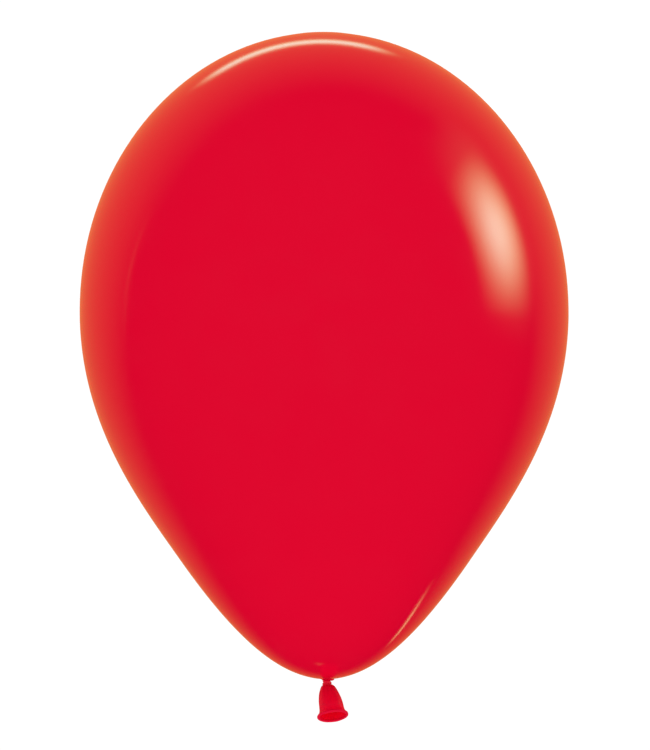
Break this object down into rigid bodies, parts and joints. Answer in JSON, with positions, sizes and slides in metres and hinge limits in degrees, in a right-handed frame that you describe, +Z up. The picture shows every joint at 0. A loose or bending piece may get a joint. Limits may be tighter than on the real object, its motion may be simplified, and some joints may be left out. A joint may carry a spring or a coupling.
{
  "type": "latex balloon",
  "caption": "Teardrop latex balloon, blown up and knotted, with a gathered base, a bare neck for a ribbon and a short open tail that ends in a rolled lip.",
  "frame": {"origin": "the tie point: the middle of the bare neck between the inflated base and the knot", "axes": "+Z up through the middle of the inflated body to its crown; -Y the way the tail leans; +X the way the tail hangs to the side"},
  "size_m": [0.3, 0.3, 0.4232],
  "materials": {
    "latex_skin": "gloss",
    "latex_neck": "gloss",
    "latex_bead": "gloss"
  },
  "bodies": {
    "balloon": {"envelope_skin": "latex_skin", "neck_gather": "latex_neck", "knot_core": "latex_neck", "knot_turn": "latex_neck"},
    "throat": {"tail_throat": "latex_neck"},
    "tail": {"tail_skirt": "latex_neck", "rolled_lip": "latex_bead"}
  },
  "joints": [
    {"name": "throat_sway", "type": "hinge", "parent": "balloon", "child": "throat", "pos_m": [0, 0, -0.00239], "axis": [0, -1, 0], "range_deg": [-52, 38], "stiffness_Nm_per_rad": 0.0003},
    {"name": "tail_nod", "type": "hinge", "parent": "throat", "child": "tail", "pos_m": [0, 0, -0.00239], "axis": [-0.9925, 0, -0.1219], "range_deg": [-63, 32], "stiffness_Nm_per_rad": 0.0003}
  ]
}
